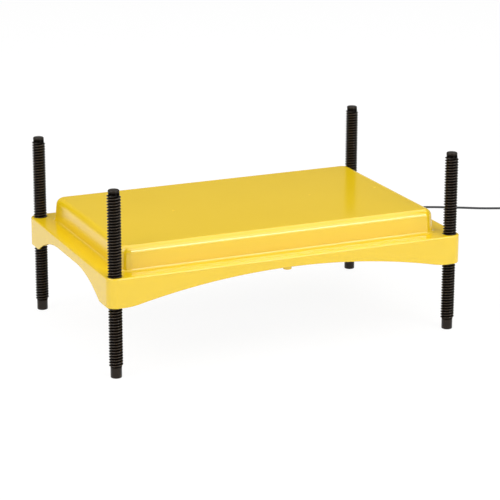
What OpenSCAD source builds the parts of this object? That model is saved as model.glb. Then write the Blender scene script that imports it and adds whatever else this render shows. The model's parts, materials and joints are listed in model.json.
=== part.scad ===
// Warm plate for rearing chicks: a moulded cover on four threaded legs, with a heated panel below.
// Millimetres. The origin is on the floor under the middle of the plate, X along its long side.

/* [Plate] */
// Distance between leg axes, left to right
leg_gap_x = 475; // [440:1:540]
// Distance between leg axes, front to back
leg_gap_y = 294; // [270:1:340]
// Radius of the corner bosses round the legs
boss_r = 12.5; // [11.5:0.1:14]
// Height of the lower ends of the bosses above the floor
ride_height = 94; // [80:1:110]
// Height of the corner bosses, where the skirt is deepest
boss_h = 39; // [36:1:46]
// Height of the raised deck above the flange
deck_rise = 31; // [27:0.5:40]
// Width of the flange beside the raised deck
flange_w = 25; // [22:0.5:28]
// Width of the flange before and behind the raised deck
front_flange_w = 25; // [22:0.5:28]
// How far the deck's walls lean in over their height
wall_lean = 3; // [2:0.25:4]
// Wall thickness of the cover
wall = 2.5; // [2:0.1:3]
// Plan radius of the raised deck's corners, down at the flange
deck_corner_r = 16; // [15:0.5:22]
// Rounding of the deck's edge
deck_edge_r = 10; // [6:0.5:10.5]
// Fillet where the deck's walls meet the flange
foot_fillet_r = 5; // [2:0.5:6]
// Rounding of the flange's outer edge
flange_edge_r = 2; // [1:0.25:2.5]

/* [Arches] */
// Height of the arches in the skirt above the bosses' lower ends
arch_rise = 25.5; // [23:0.5:27]
// Width of the arch in the front and rear skirts, at the bosses' lower ends
front_arch_w = 438; // [380:1:442]
// Width of the arch in the side skirts, at the bosses' lower ends
side_arch_w = 243; // [200:1:250]
// Length of the flat top of the side arches
side_arch_flat = 70; // [40:1:90]

/* [Legs] */
// Length of a leg with its foot
leg_len = 245; // [220:1:280]
// Outer diameter of a leg's thread
thread_d = 18; // [16.5:0.1:18.6]
// Diameter of a leg's plain ends
plain_d = 14.7; // [13:0.1:15.5]
// Height of a foot
foot_h = 14; // [10:0.5:20]
// Height of the plain tip on top of a leg
tip_h = 6; // [4:0.5:10]
// Diameter of the spigot that a foot turns on
spigot_d = 8; // [6:0.1:9]
// Running clearance of the legs in the bosses and in the feet
leg_clear = 0.3; // [0.2:0.05:0.4]

/* [Underside] */
// Distance from the foot of the deck's side walls to the edge of the heated panel
panel_inset = 12; // [10:0.5:20]
// Distance from the foot of the deck's front and rear walls to the edge of the heated panel
panel_front_inset = 12; // [10:0.5:20]
// Thickness of the heated panel
panel_t = 2; // [1.5:0.1:3]
// How far the base frame laps under the panel's edge
panel_lap = 8; // [5:0.5:12]
// Thickness of the base frame
frame_t = 2.5; // [2:0.1:3]
// Gap between the base frame and the cover
frame_clear = 0.4; // [0.2:0.05:0.8]
// Height of the screw cups below the base frame
cup_h = 6.5; // [5.5:0.5:8]
// Radius of the screw cups
cup_r = 5.75; // [5:0.25:6.5]

/* [Heater] */
// Thickness of the heater's carrier film
film_t = 0.6; // [0.4:0.1:1]
// Distance from the panel's edge to the edge of the film
film_margin = 3; // [2:0.5:6]
// Width of the heater track
track_w = 5; // [4:0.5:6]
// Thickness of the heater track
track_t = 0.3; // [0.2:0.1:0.5]
// Number of runs of the heater track, an even number
track_runs = 12; // [8:2:12]
// Distance from the panel's edge to the middle of the outer runs
track_margin = 23.5; // [18:0.5:30]
// Thickness of the insulation board
board_t = 12; // [8:0.5:16]

/* [Lead] */
// Diameter of the supply lead
cord_d = 3.5; // [3:0.1:3.8]
// Turns in the coil of spare lead
coil_turns = 8.25; // [6.25:1:8.25]
// Radius of the coil's outer turn, to the middle of the lead
coil_r = 30; // [28:0.5:34]

/* [Hidden] */
$fn = 48;

// Overrun of every cut, and steps in a rounded edge of a profile
cut = 1;
edge_steps = 6;

// Levels of the cover
half_x = leg_gap_x / 2 + boss_r;
half_y = leg_gap_y / 2 + boss_r;
flange_z = ride_height + boss_h;
under_flange_z = flange_z - wall;
deck_z = flange_z + deck_rise;
under_deck_z = deck_z - wall;
arch_top_z = ride_height + arch_rise;

// Leaning wall of the deck, measured from the axis of its corners
deck_axis_x = half_x - flange_w - deck_corner_r;
deck_axis_y = half_y - front_flange_w - deck_corner_r;
lean_angle = atan(wall_lean / deck_rise);
function wall_r(z) = deck_corner_r - (z - flange_z) * tan(lean_angle);
function inner_r(z) = wall_r(z) - wall / cos(lean_angle);

// Heated panel, inside the foot of the deck's walls
panel_l = 2 * (half_x - flange_w - panel_inset);
panel_w = 2 * (half_y - front_flange_w - panel_front_inset);

// Levels of the underside, from the base frame up
frame_z = arch_top_z;
frame_top_z = frame_z + frame_t;
panel_top_z = frame_top_z + panel_t;
film_top_z = panel_top_z + film_t;
track_top_z = film_top_z + track_t;

// Screws: all are of one size, with a flat head
screw_r = 1.45;
screw_fit = 0.05;
screw_hole_r = 1.7;
head_r = 3.3;
head_h = 2.2;
head_fit = 0.4;

// Screw cups of the base frame and the bosses above them
screw_row = 14.5;
cup_seat_h = 4;
frame_boss_r = 4.5;
frame_screw_grip = 7;
pilot_extra = 0.5;
cup_x_share = 0.6;
cup_places = [
    for (s = [-1, 1]) each [
        [0, s * (half_y - screw_row)],
        [-cup_x_share * half_x, s * (half_y - screw_row)],
        [cup_x_share * half_x, s * (half_y - screw_row)],
        [s * (half_x - screw_row), 0]
    ]
];

// Posts under the deck: two hold the panel's middle, and the third the terminal block
post_r = 4.5;
post_clear = 0.7;
post_x_share = 0.4;
post_x = post_x_share * half_x;
post_grip = 12;
post_places = [[-post_x, 0], [post_x, 0]];

// Insulation board, which leaves a wiring bay at the right
board_rest = 0.1;
wiring_bay = 41;
board_left = panel_l / 2 - film_margin;
board_right = panel_l / 2 - wiring_bay;
board_half_y = panel_w / 2 - film_margin;

// Terminal block, below its post, with two poles
block_in = 13;
block_x = panel_l / 2 - block_in;
block_size = [18, 22, 13];
block_post_h = 14.5;
block_top_z = under_deck_z - block_post_h;
block_z = block_top_z - block_size.z;
pole_gap = 10;
pole_r = 1.4;
pole_z = block_z + block_size.z / 2;
well_r = 2;
well_depth = 4;
well_inset = 5;
well_fit = 0.1;

// Supply lead where it passes the rear skirt
cord_r = cord_d / 2;
cord_x = block_x;
lip_r = 3.2;
lip_t = 1.5;
neck_r = 2.8;
neck_fit = 0.05;
collar_r = 4.4;
collar_t = 2;
relief_len = 24;
relief_root_r = 3.8;
relief_tip_r = 2.6;
relief_groove = 0.5;
relief_rings = 5;
ring_share = 0.6;
lip_room = 0.1;
cord_z = under_flange_z - lip_r - lip_room;
relief_end_y = half_y + relief_len;

// Clamp that grips the lead under the flange
clamp_y_in = 17.5;
clamp_gap = 17;
clamp_size = [24, 8, 2];
clamp_boss_r = 3;
clamp_head_h = 1.2;
clamp_grip = 3.5;
saddle_w = 6;
clamp_y = half_y - clamp_y_in;
clamp_top_z = cord_z - cord_r;

// Thermal cut-out on the film, in the wiring bay, and its strap
cutout_out = 4;
cutout_share = 0.38;
cutout_size = [8, 20, 5];
clip_t = 0.8;
clip_w = 7;
clip_foot = 5;
clip_fit = 0.1;
cutout_z = film_top_z + cutout_size.z / 2;
cutout_y = cutout_share * panel_w / 2;

// Heater track: even runs, turned back by half rings, with both ends at the right
track_end_in = 28;
track_half_x = panel_l / 2 - track_end_in;
turn_steps = 8;
track_pitch = (panel_w - 2 * track_margin) / (track_runs - 1);
track_first_y = -(track_runs - 1) * track_pitch / 2;
cutout_x = track_half_x + cutout_out;

// Wires of the heater
wire_r = 0.8;
wire_sides = 6;
wire_bend = 12;
wire_rest_z = track_top_z + wire_r;

// Free lead: out of the rear skirt, down to the floor and off to the right
cord_sides = 8;
cord_end_gap = 0.2;
cord_between = 3;
cord_points = [
    [cord_x, relief_end_y + cord_end_gap, cord_z], [200, 195, 126.5], [200.5, 208, 122.5], [201.5, 222, 113],
    [203.5, 235, 98], [206.5, 246, 79], [210.5, 256, 58], [215.5, 266, 37], [222.5, 278, 19],
    [232, 291, 7.5], [245, 306, 2.6], [263, 322, 1.8], [285, 339, 1.8], [310, 355, 1.8],
    [340, 371, 1.8], [372, 384, 1.8], [405, 392.5, 1.8], [436, 396, 1.8], [466, 394.5, 1.8],
    [494, 388, 1.8], [521, 376, 1.8], [548, 361.5, 1.8], [576, 345.5, 1.8], [604, 333.5, 1.8],
    [622, 325, 2.2], [640, 315.5, 3]
];

// Coil of spare lead: it spirals in on the floor, climbs, and spirals out on top
coil_start = [640, 315.5];
coil_heading = -27.8;
coil_floor = 1.25;
coil_gap = 0.5;
coil_pitch = cord_d + coil_gap;
coil_rings = 24;
coil_sides = 6;
coil_low_z = coil_floor + cord_r;
coil_tail = 18;
coil_run = [cos(coil_heading), sin(coil_heading)];
coil_side = [sin(coil_heading), -cos(coil_heading)];
coil_spin_start = coil_start + cord_d * coil_run;
coil_centre = coil_spin_start + coil_r * coil_side;
coil_half = coil_turns / 2;
climb_half = 0.25;
function coil_radius(t) = coil_r - coil_pitch * min(t, coil_turns - t);
function coil_climb(t) = min(1, max(0, (t - coil_half + climb_half) / (2 * climb_half)));
function coil_angle(t) = coil_heading + 90 - 360 * t;
function coil_point(t) = [
    coil_centre.x + coil_radius(t) * cos(coil_angle(t)),
    coil_centre.y + coil_radius(t) * sin(coil_angle(t)),
    coil_low_z + coil_pitch * coil_climb(t)
];

// Tie round the coil, across from where the lead comes and goes
tie_t = 0.8;
tie_w = 6;
tie_fit = 0.4;
tie_angle = coil_heading - 135;

// Low-voltage plug on the end of the lead
plug_z = 5;
plug_len = 28;
plug_r = 4.8;
plug_neck_r = 2.6;
plug_neck_len = 10;
plug_shoulder = 4;
plug_edge = 0.8;
sleeve_len = 9.5;
sleeve_r = 2.75;
sleeve_bore_r = 1.25;
sleeve_wall_share = 0.8;
plug_heading = coil_angle(coil_turns) - 90;
plug_run = [cos(plug_heading), sin(plug_heading)];
coil_end = coil_point(coil_turns);
coil_stop = [
    coil_end.x + (coil_tail - cord_end_gap) * plug_run.x,
    coil_end.y + (coil_tail - cord_end_gap) * plug_run.y,
    plug_z
];
plug_start = [coil_end.x + coil_tail * plug_run.x, coil_end.y + coil_tail * plug_run.y, plug_z];

// Points of an arc about c, from angle a to angle b
function arc(c, r, a, b) = [
    for (i = [0:edge_steps])
        let (t = a + (b - a) * i / edge_steps) c + r * [cos(t), sin(t)]
];

// A point of a smooth curve through p, between its points i and i + 1
function through(p, i, t) =
    let (
        a = p[max(i - 1, 0)], b = p[i], c = p[i + 1], d = p[min(i + 2, len(p) - 1)],
        u = (c - a) / 2, v = (d - b) / 2
    )
    b + t * u + t * t * (3 * (c - b) - 2 * u - v) + t * t * t * (2 * (b - c) + u + v);

function smooth(p, n) = [
    for (i = [0:len(p) - 2]) for (k = [0:n - 1]) through(p, i, k / n),
    p[len(p) - 1]
];

// Direction of a path at its point i
function along(p, i) =
    let (d = p[min(i + 1, len(p) - 1)] - p[max(i - 1, 0)]) d / norm(d);

// Rings of a tube round path p, each square to it, with level edges
function ring(p, i, r, sides) =
    let (
        d = along(p, i), flat = norm([d.x, d.y]),
        side = flat > 0 ? [d.y, -d.x, 0] / flat : [1, 0, 0], up = cross(side, d)
    )
    [for (k = [0:sides - 1]) let (a = 360 * (k + 0.5) / sides) p[i] + r * (cos(a) * side + sin(a) * up)];

// A closed tube along the points of path p
module tube(p, r, sides) {
    rings = [for (i = [0:len(p) - 1]) each ring(p, i, r, sides)];
    last = (len(p) - 1) * sides;
    walls = [
        for (i = [0:len(p) - 2]) for (k = [0:sides - 1])
            let (a = i * sides + k, b = i * sides + (k + 1) % sides)
            each [[a, a + sides, b], [b, a + sides, b + sides]]
    ];
    caps = [for (k = [1:sides - 2]) each [[0, k, k + 1], [last, last + k + 1, last + k]]];
    polyhedron(points = rings, faces = concat(walls, caps));
}

// A block with a rounded plan: the child is its edge, drawn outwards from the axis of a corner
module rounded_block(axis_x, axis_y, low, high) {
    for (mx = [0, 1]) for (my = [0, 1])
        mirror([mx, 0, 0]) mirror([0, my, 0]) translate([axis_x, axis_y, 0])
            rotate_extrude(angle = 90) children();
    for (mx = [0, 1])
        mirror([mx, 0, 0]) translate([axis_x, axis_y, 0])
            rotate([90, 0, 0]) linear_extrude(2 * axis_y) children();
    for (my = [0, 1])
        mirror([0, my, 0]) translate([-axis_x, axis_y, 0])
            rotate([90, 0, 90]) linear_extrude(2 * axis_x) children();
    translate([-axis_x, -axis_y, low]) cube([2 * axis_x, 2 * axis_y, high - low]);
}

// The same on all four leg axes
module at_legs() {
    for (mx = [0, 1]) for (my = [0, 1])
        mirror([mx, 0, 0]) mirror([0, my, 0]) translate([leg_gap_x / 2, leg_gap_y / 2, 0]) children();
}

module at_places(places, z) {
    for (p = places) translate([p.x, p.y, z]) children();
}

// A screw seen from its head: the head lies below z = 0 and the shank rises from it
module screw(grip, head) {
    translate([0, 0, -head]) cylinder(r = head_r, h = head);
    cylinder(r = screw_r, h = grip);
}

// Edge of the skirt block, rounded along the flange
module skirt_edge() {
    polygon(concat(
        [[0, ride_height], [boss_r, ride_height]],
        arc([boss_r - flange_edge_r, flange_z - flange_edge_r], flange_edge_r, 0, 90),
        [[0, flange_z]]
    ));
}

// Centre of the deck edge's rounding, which the hollow under it shares
edge_axis = [
    wall_r(deck_z - deck_edge_r) - deck_edge_r / cos(lean_angle),
    deck_z - deck_edge_r
];

// Edge of the raised deck: fillet on the flange, leaning wall, rounded edge
module deck_edge() {
    foot = [
        wall_r(flange_z + foot_fillet_r) + foot_fillet_r / cos(lean_angle),
        flange_z + foot_fillet_r
    ];
    polygon(concat(
        [[0, under_flange_z], [foot.x, under_flange_z]],
        arc(foot, foot_fillet_r, 270, 180 + lean_angle),
        arc(edge_axis, deck_edge_r, lean_angle, 90),
        [[0, deck_z]]
    ));
}

// Edge of the hollow under the deck
module hollow_edge() {
    polygon(concat(
        [[0, under_flange_z - cut], [inner_r(under_flange_z - cut), under_flange_z - cut]],
        arc(edge_axis, deck_edge_r - wall, lean_angle, 90),
        [[0, under_deck_z]]
    ));
}

// Hollow inside the skirt, round the corner bosses
module skirt_hollow() {
    low = ride_height - cut;
    difference() {
        union() {
            translate([wall - half_x, -leg_gap_y / 2, low])
                cube([2 * (half_x - wall), leg_gap_y, under_flange_z - low]);
            translate([-leg_gap_x / 2, wall - half_y, low])
                cube([leg_gap_x, 2 * (half_y - wall), under_flange_z - low]);
        }
        at_legs() translate([0, 0, low - cut]) cylinder(r = boss_r, h = under_flange_z - low + 2 * cut);
    }
}

// Arches through the front and rear skirts, and through the side skirts
module arches() {
    front_r = (pow(front_arch_w / 2, 2) + pow(arch_rise, 2)) / (2 * arch_rise);
    translate([0, half_y + cut, arch_top_z - front_r])
        rotate([90, 0, 0]) cylinder(r = front_r, h = 2 * (half_y + cut), $fn = 360);
    side_run = (side_arch_w - side_arch_flat) / 2;
    side_r = (pow(side_run, 2) + pow(arch_rise, 2)) / (2 * arch_rise);
    for (s = [-1, 1])
        translate([-half_x - cut, s * side_arch_flat / 2, arch_top_z - side_r])
            rotate([0, 90, 0]) cylinder(r = side_r, h = 2 * (half_x + cut), $fn = 180);
    translate([-half_x - cut, -side_arch_flat / 2, ride_height - cut])
        cube([2 * (half_x + cut), side_arch_flat, arch_rise + cut]);
}

module cover_shell() {
    difference() {
        union() {
            rounded_block(leg_gap_x / 2, leg_gap_y / 2, ride_height, flange_z) skirt_edge();
            rounded_block(deck_axis_x, deck_axis_y, under_flange_z, deck_z) deck_edge();
        }
        rounded_block(deck_axis_x, deck_axis_y, under_flange_z - cut, under_deck_z) hollow_edge();
        skirt_hollow();
        arches();
        at_legs() translate([0, 0, ride_height - cut])
            cylinder(r = thread_d / 2 + leg_clear, h = boss_h + 2 * cut);
        translate([cord_x, half_y + cut, cord_z])
            rotate([90, 0, 0]) cylinder(r = neck_r + neck_fit, h = wall + 2 * cut);
    }
}

// Bosses and posts that stand on the inside of the cover
module cover_bosses() {
    at_places(cup_places, frame_top_z)
        cylinder(r = frame_boss_r, h = under_flange_z - frame_top_z + wall / 2);
    at_places(post_places, panel_top_z)
        cylinder(r = post_r, h = under_deck_z - panel_top_z + wall / 2);
    translate([block_x, 0, block_top_z])
        cylinder(r = post_r, h = under_deck_z - block_top_z + wall / 2);
    for (s = [-1, 1])
        translate([cord_x + s * clamp_gap / 2, clamp_y, clamp_top_z])
            cylinder(r = clamp_boss_r, h = under_flange_z - clamp_top_z + wall / 2);
    translate([cord_x - saddle_w / 2, clamp_y - clamp_size.y / 2, cord_z + cord_r])
        cube([saddle_w, clamp_size.y, under_flange_z - cord_z - cord_r + wall / 2]);
}

// Screw holes in those bosses and posts
module cover_pilots() {
    pilot_r = screw_r + screw_fit;
    at_places(cup_places, frame_top_z - cut)
        cylinder(r = pilot_r, h = frame_screw_grip + pilot_extra + cut);
    at_places(post_places, panel_top_z - cut)
        cylinder(r = pilot_r, h = post_grip + pilot_extra + cut);
    translate([block_x, 0, block_top_z - cut])
        cylinder(r = pilot_r, h = post_grip + pilot_extra + cut);
    for (s = [-1, 1])
        translate([cord_x + s * clamp_gap / 2, clamp_y, clamp_top_z - cut])
            cylinder(r = pilot_r, h = clamp_grip + pilot_extra + cut);
}

module top_cover() {
    color("gold") difference() {
        union() {
            cover_shell();
            cover_bosses();
        }
        cover_pilots();
    }
}

// Frame that closes the cover from below, with a window for the panel and a cup round each screw
module base_frame() {
    in_x = half_x - wall - frame_clear;
    in_y = half_y - wall - frame_clear;
    seat_z = frame_z - cup_h + cup_seat_h;
    color("gold") difference() {
        union() {
            translate([-in_x, -leg_gap_y / 2, frame_z]) cube([2 * in_x, leg_gap_y, frame_t]);
            translate([-leg_gap_x / 2, -in_y, frame_z]) cube([leg_gap_x, 2 * in_y, frame_t]);
            at_places(cup_places, frame_z - cup_h) cylinder(r = cup_r, h = cup_h + frame_t / 2);
        }
        at_legs() translate([0, 0, frame_z - cut])
            cylinder(r = boss_r + frame_clear, h = frame_t + 2 * cut);
        translate([panel_lap - panel_l / 2, panel_lap - panel_w / 2, frame_z - cut])
            cube([panel_l - 2 * panel_lap, panel_w - 2 * panel_lap, frame_t + 2 * cut]);
        at_places(cup_places, frame_z - cup_h - cut)
            cylinder(r = head_r + head_fit, h = cup_seat_h + cut);
        at_places(cup_places, seat_z - cut)
            cylinder(r = screw_hole_r, h = frame_top_z - seat_z + 2 * cut);
    }
}

// Eight screws, each up through its cup into a boss of the cover
module frame_screws() {
    seat_z = frame_z - cup_h + cup_seat_h;
    color("silver") at_places(cup_places, seat_z)
        screw(frame_top_z - seat_z + frame_screw_grip, head_h);
}

module heat_panel() {
    color("dimgray") difference() {
        translate([-panel_l / 2, -panel_w / 2, frame_top_z]) cube([panel_l, panel_w, panel_t]);
        at_places(post_places, frame_top_z - cut) cylinder(r = screw_hole_r, h = panel_t + 2 * cut);
    }
}

module panel_screws() {
    color("silver") at_places(post_places, frame_top_z) screw(panel_t + post_grip, head_h);
}

module element_film() {
    film_l = panel_l - 2 * film_margin;
    film_w = panel_w - 2 * film_margin;
    color("peru") difference() {
        translate([-film_l / 2, -film_w / 2, panel_top_z]) cube([film_l, film_w, film_t]);
        at_places(post_places, panel_top_z - cut) cylinder(r = post_r + post_clear, h = film_t + 2 * cut);
    }
}

// One side of the track's band: s is 1 for the side that lies outside the first turn
function track_side(s) = [
    for (i = [0:track_runs - 1])
        let (
            y = track_first_y + i * track_pitch, odd = i % 2, dir = odd ? 1 : -1,
            turn_r = track_pitch / 2 + (odd ? -s : s) * track_w / 2,
            turn_x = track_half_x - track_pitch, last = i == track_runs - 1
        )
        each concat(
            i == 0 ? [[track_half_x, y - s * track_w / 2]] : [],
            last
                ? [[track_half_x, y + s * track_w / 2]]
                : [
                    for (k = [0:turn_steps])
                        let (a = -90 + 180 * k / turn_steps)
                        [dir * (turn_x + turn_r * cos(a)), y + track_pitch / 2 + turn_r * sin(a)]
                ]
        )
];

module heating_track() {
    inner = track_side(-1);
    color("silver") translate([0, 0, film_top_z]) linear_extrude(track_t)
        polygon(concat(track_side(1), [for (i = [len(inner) - 1:-1:0]) inner[i]]));
}

module insulation_board() {
    color("white") difference() {
        translate([-board_left, -board_half_y, track_top_z + board_rest])
            cube([board_left + board_right, 2 * board_half_y, board_t]);
        at_places(post_places, track_top_z + board_rest - cut)
            cylinder(r = post_r + post_clear, h = board_t + 2 * cut);
    }
}

module thermal_cutout() {
    color("black") translate([cutout_x - cutout_size.x / 2, cutout_y - cutout_size.y / 2, film_top_z])
        cube(cutout_size);
}

// Strap over the cut-out, with a foot on each side
module cutout_clip() {
    in_x = cutout_size.x / 2 + clip_fit;
    in_z = cutout_size.z + clip_fit;
    color("silver") translate([cutout_x, cutout_y + clip_w / 2, film_top_z])
        rotate([90, 0, 0]) linear_extrude(clip_w) polygon([
            [-in_x - clip_foot, 0], [-in_x, 0], [-in_x, in_z], [in_x, in_z], [in_x, 0],
            [in_x + clip_foot, 0], [in_x + clip_foot, clip_t], [in_x + clip_t, clip_t],
            [in_x + clip_t, in_z + clip_t], [-in_x - clip_t, in_z + clip_t],
            [-in_x - clip_t, clip_t], [-in_x - clip_foot, clip_t]
        ]);
}

// Places of the clamping screws on the terminal block
well_places = [
    for (s = [-1, 1]) for (t = [-1, 1])
        [block_x + s * pole_gap / 2, t * (block_size.y / 2 - well_inset)]
];

module terminal_block() {
    color("ivory") difference() {
        translate([block_x - block_size.x / 2, -block_size.y / 2, block_z]) cube(block_size);
        at_places(well_places, block_z - cut) cylinder(r = well_r, h = well_depth + cut);
        translate([block_x, 0, block_z - cut]) cylinder(r = screw_hole_r, h = block_size.z + 2 * cut);
    }
}

// Four clamping screws in their wells, and the one that holds the block to its post
module terminal_screws() {
    color("silver") {
        at_places(well_places, block_z)
            cylinder(r = well_r - well_fit, h = well_depth);
        translate([block_x, 0, block_z]) screw(block_size.z + post_grip, head_h);
    }
}

// Wires: block to track, block to cut-out, cut-out to track
module lead_wires() {
    front = -block_size.y / 2;
    end_y = -track_first_y;
    left_x = block_x - pole_gap / 2;
    right_x = block_x + pole_gap / 2;
    cutout_front = cutout_y - cutout_size.y / 2;
    cutout_back = cutout_y + cutout_size.y / 2;
    under_z = block_z - wire_bend / 2;
    color("firebrick") {
        tube(smooth([
            [right_x, front, pole_z], [right_x, front - wire_bend / 2, pole_z],
            [right_x, front - 2 * wire_bend, wire_rest_z + wire_bend / 2],
            [right_x - wire_bend / 4, front - 4 * wire_bend, wire_rest_z + wire_bend / 8],
            [track_half_x - track_w / 2, -end_y, wire_rest_z]
        ], cord_between), wire_r, wire_sides);
        tube(smooth([
            [left_x, front, pole_z], [left_x, front - wire_bend / 2, pole_z - wire_r],
            [left_x - wire_bend / 4, front - wire_bend, under_z],
            [cutout_x, front - wire_bend / 2, cutout_z + wire_r],
            [cutout_x, 0, cutout_z], [cutout_x, cutout_front - wire_bend, cutout_z],
            [cutout_x, cutout_front, cutout_z]
        ], cord_between), wire_r, wire_sides);
        tube(smooth([
            [cutout_x, cutout_back, cutout_z], [cutout_x, cutout_back + wire_bend, cutout_z],
            [cutout_x, (cutout_back + end_y) / 2, wire_rest_z + wire_r],
            [track_half_x - track_w / 2, end_y, wire_rest_z]
        ], cord_between), wire_r, wire_sides);
    }
}

// The lead inside the cover: from the strain relief under the clamp and up to the block
module cord_tail() {
    start = half_y - wall - lip_t;
    block_y = block_size.y / 2;
    color("dimgray") tube(smooth([
        [cord_x, start, cord_z], [cord_x, clamp_y + clamp_size.y, cord_z],
        [cord_x, clamp_y - clamp_size.y, cord_z], [cord_x, clamp_y - 2 * clamp_size.y, cord_z],
        [cord_x, (clamp_y + block_y) / 2, (cord_z + pole_z) / 2],
        [cord_x, block_y + 2 * wire_bend, pole_z], [cord_x, block_y, pole_z]
    ], cord_between), cord_r, cord_sides);
}

module cord_clamp() {
    color("black") difference() {
        translate([cord_x - clamp_size.x / 2, clamp_y - clamp_size.y / 2, clamp_top_z - clamp_size.z])
            cube(clamp_size);
        for (s = [-1, 1])
            translate([cord_x + s * clamp_gap / 2, clamp_y, clamp_top_z - clamp_size.z - cut])
                cylinder(r = screw_hole_r, h = clamp_size.z + 2 * cut);
    }
}

module clamp_screws() {
    color("silver") for (s = [-1, 1])
        translate([cord_x + s * clamp_gap / 2, clamp_y, clamp_top_z - clamp_size.z])
            screw(clamp_size.z + clamp_grip, clamp_head_h);
}

// Tapered sleeve in the rear skirt, with rings that let it bend
module strain_relief() {
    pitch = (relief_len - collar_t) / relief_rings;
    function taper(d) =
        relief_root_r + (relief_tip_r - relief_root_r) * (d - collar_t) / (relief_len - collar_t);
    rings = [
        for (i = [0:relief_rings - 1])
            let (a = collar_t + i * pitch, b = a + ring_share * pitch, last = i == relief_rings - 1)
            each concat(
                [[taper(a), a], [taper(b), b]],
                last ? [[taper(relief_len), relief_len]]
                     : [[taper(b) - relief_groove, b], [taper(a + pitch) - relief_groove, a + pitch]]
            )
    ];
    color("dimgray") translate([cord_x, half_y, cord_z]) rotate([-90, 0, 0]) rotate_extrude()
        polygon(concat(
            [
                [0, -wall - lip_t], [lip_r, -wall - lip_t], [lip_r, -wall],
                [neck_r, -wall], [neck_r, 0], [collar_r, 0], [collar_r, collar_t]
            ],
            rings,
            [[0, relief_len]]
        ));
}

// A leg: plain tip with a rounded edge, body of the thread's outer diameter, spigot for the foot
module leg() {
    tip_r = plain_d / 2;
    body_r = thread_d / 2;
    run_out = body_r - tip_r;
    edge = run_out;
    color("black") rotate_extrude() polygon(concat(
        [
            [0, foot_h / 4 + leg_clear], [spigot_d / 2, foot_h / 4 + leg_clear],
            [spigot_d / 2, foot_h + leg_clear], [tip_r, foot_h + leg_clear],
            [body_r, foot_h + leg_clear + run_out], [body_r, leg_len - tip_h - run_out],
            [tip_r, leg_len - tip_h]
        ],
        arc([tip_r - edge, leg_len - edge], edge, 0, 90),
        [[0, leg_len]]
    ));
}

// A foot: a plain cup that stands on the floor and turns on the leg's spigot
module foot() {
    foot_r = plain_d / 2;
    edge = foot_h / 12;
    color("black") rotate_extrude() polygon([
        [0, 0], [foot_r - edge, 0], [foot_r, edge], [foot_r, foot_h],
        [spigot_d / 2 + leg_clear, foot_h], [spigot_d / 2 + leg_clear, foot_h / 4], [0, foot_h / 4]
    ]);
}

module leg_front_left() { translate([-leg_gap_x / 2, -leg_gap_y / 2, 0]) leg(); }
module leg_front_right() { translate([leg_gap_x / 2, -leg_gap_y / 2, 0]) leg(); }
module leg_rear_left() { translate([-leg_gap_x / 2, leg_gap_y / 2, 0]) leg(); }
module leg_rear_right() { translate([leg_gap_x / 2, leg_gap_y / 2, 0]) leg(); }
module foot_front_left() { translate([-leg_gap_x / 2, -leg_gap_y / 2, 0]) foot(); }
module foot_front_right() { translate([leg_gap_x / 2, -leg_gap_y / 2, 0]) foot(); }
module foot_rear_left() { translate([-leg_gap_x / 2, leg_gap_y / 2, 0]) foot(); }
module foot_rear_right() { translate([leg_gap_x / 2, leg_gap_y / 2, 0]) foot(); }

module supply_cord() {
    color("dimgray") tube(smooth(cord_points, cord_between), cord_r, cord_sides);
}

// The coil's path: a straight start, the turns, and a straight tail down to the plug
coil_count = coil_turns * coil_rings;
coil_path = concat(
    [[coil_start.x, coil_start.y, coil_low_z]],
    [for (i = [0:coil_count]) coil_point(i / coil_rings)],
    [for (k = [1:cord_between]) coil_end + (coil_stop - coil_end) * k / cord_between]
);

// Least gap of the coil to itself, between points more than half a turn apart
coil_least_gap = min([
    for (i = [0:len(coil_path) - 1]) for (j = [i + coil_rings / 2:1:len(coil_path) - 1])
        norm(coil_path[i] - coil_path[j]) - cord_d
]);

module cord_coil() {
    echo(coil_least_gap = coil_least_gap);
    color("dimgray") tube(coil_path, cord_r, coil_sides);
}

// Flat band round all turns of the coil
module cord_tie() {
    in_r = coil_r - coil_pitch * coil_half - cord_r - tie_fit;
    out_r = coil_r + cord_r + tie_fit;
    low_z = coil_low_z - cord_r - tie_fit;
    high_z = coil_low_z + coil_pitch + cord_r + tie_fit;
    color("black") translate([coil_centre.x, coil_centre.y, 0]) rotate([0, 0, tie_angle])
        translate([0, tie_w / 2, 0]) rotate([90, 0, 0]) linear_extrude(tie_w) difference() {
            translate([in_r - tie_t, low_z - tie_t])
                square([out_r - in_r + 2 * tie_t, high_z - low_z + 2 * tie_t]);
            translate([in_r, low_z]) square([out_r - in_r, high_z - low_z]);
        }
}

// The plug's own axis, pointing away from the lead
module at_plug() {
    translate(plug_start) rotate([0, 0, plug_heading]) rotate([0, 90, 0]) children();
}

module plug_body() {
    color("dimgray") at_plug() rotate_extrude() polygon([
        [0, 0], [plug_neck_r, 0], [plug_neck_r + plug_edge, plug_neck_len],
        [plug_r - plug_edge, plug_neck_len], [plug_r, plug_neck_len + plug_shoulder],
        [plug_r, plug_len - plug_edge], [plug_r - plug_edge, plug_len], [0, plug_len]
    ]);
}

module plug_sleeve() {
    color("silver") at_plug() translate([0, 0, plug_len]) difference() {
        cylinder(r = sleeve_r, h = sleeve_len);
        translate([0, 0, sleeve_len * (1 - sleeve_wall_share)])
            cylinder(r = sleeve_bore_r, h = sleeve_len);
    }
}

top_cover();
base_frame();
heat_panel();
element_film();
heating_track();
insulation_board();
thermal_cutout();
cutout_clip();
terminal_block();
terminal_screws();
lead_wires();
cord_tail();
cord_clamp();
clamp_screws();
frame_screws();
panel_screws();
strain_relief();
leg_front_left();
leg_front_right();
leg_rear_left();
leg_rear_right();
foot_front_left();
foot_front_right();
foot_rear_left();
foot_rear_right();
supply_cord();
cord_coil();
cord_tie();
plug_body();
plug_sleeve();
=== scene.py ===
import json
import math

import bmesh
import bpy
from mathutils import Matrix, Vector


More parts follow.
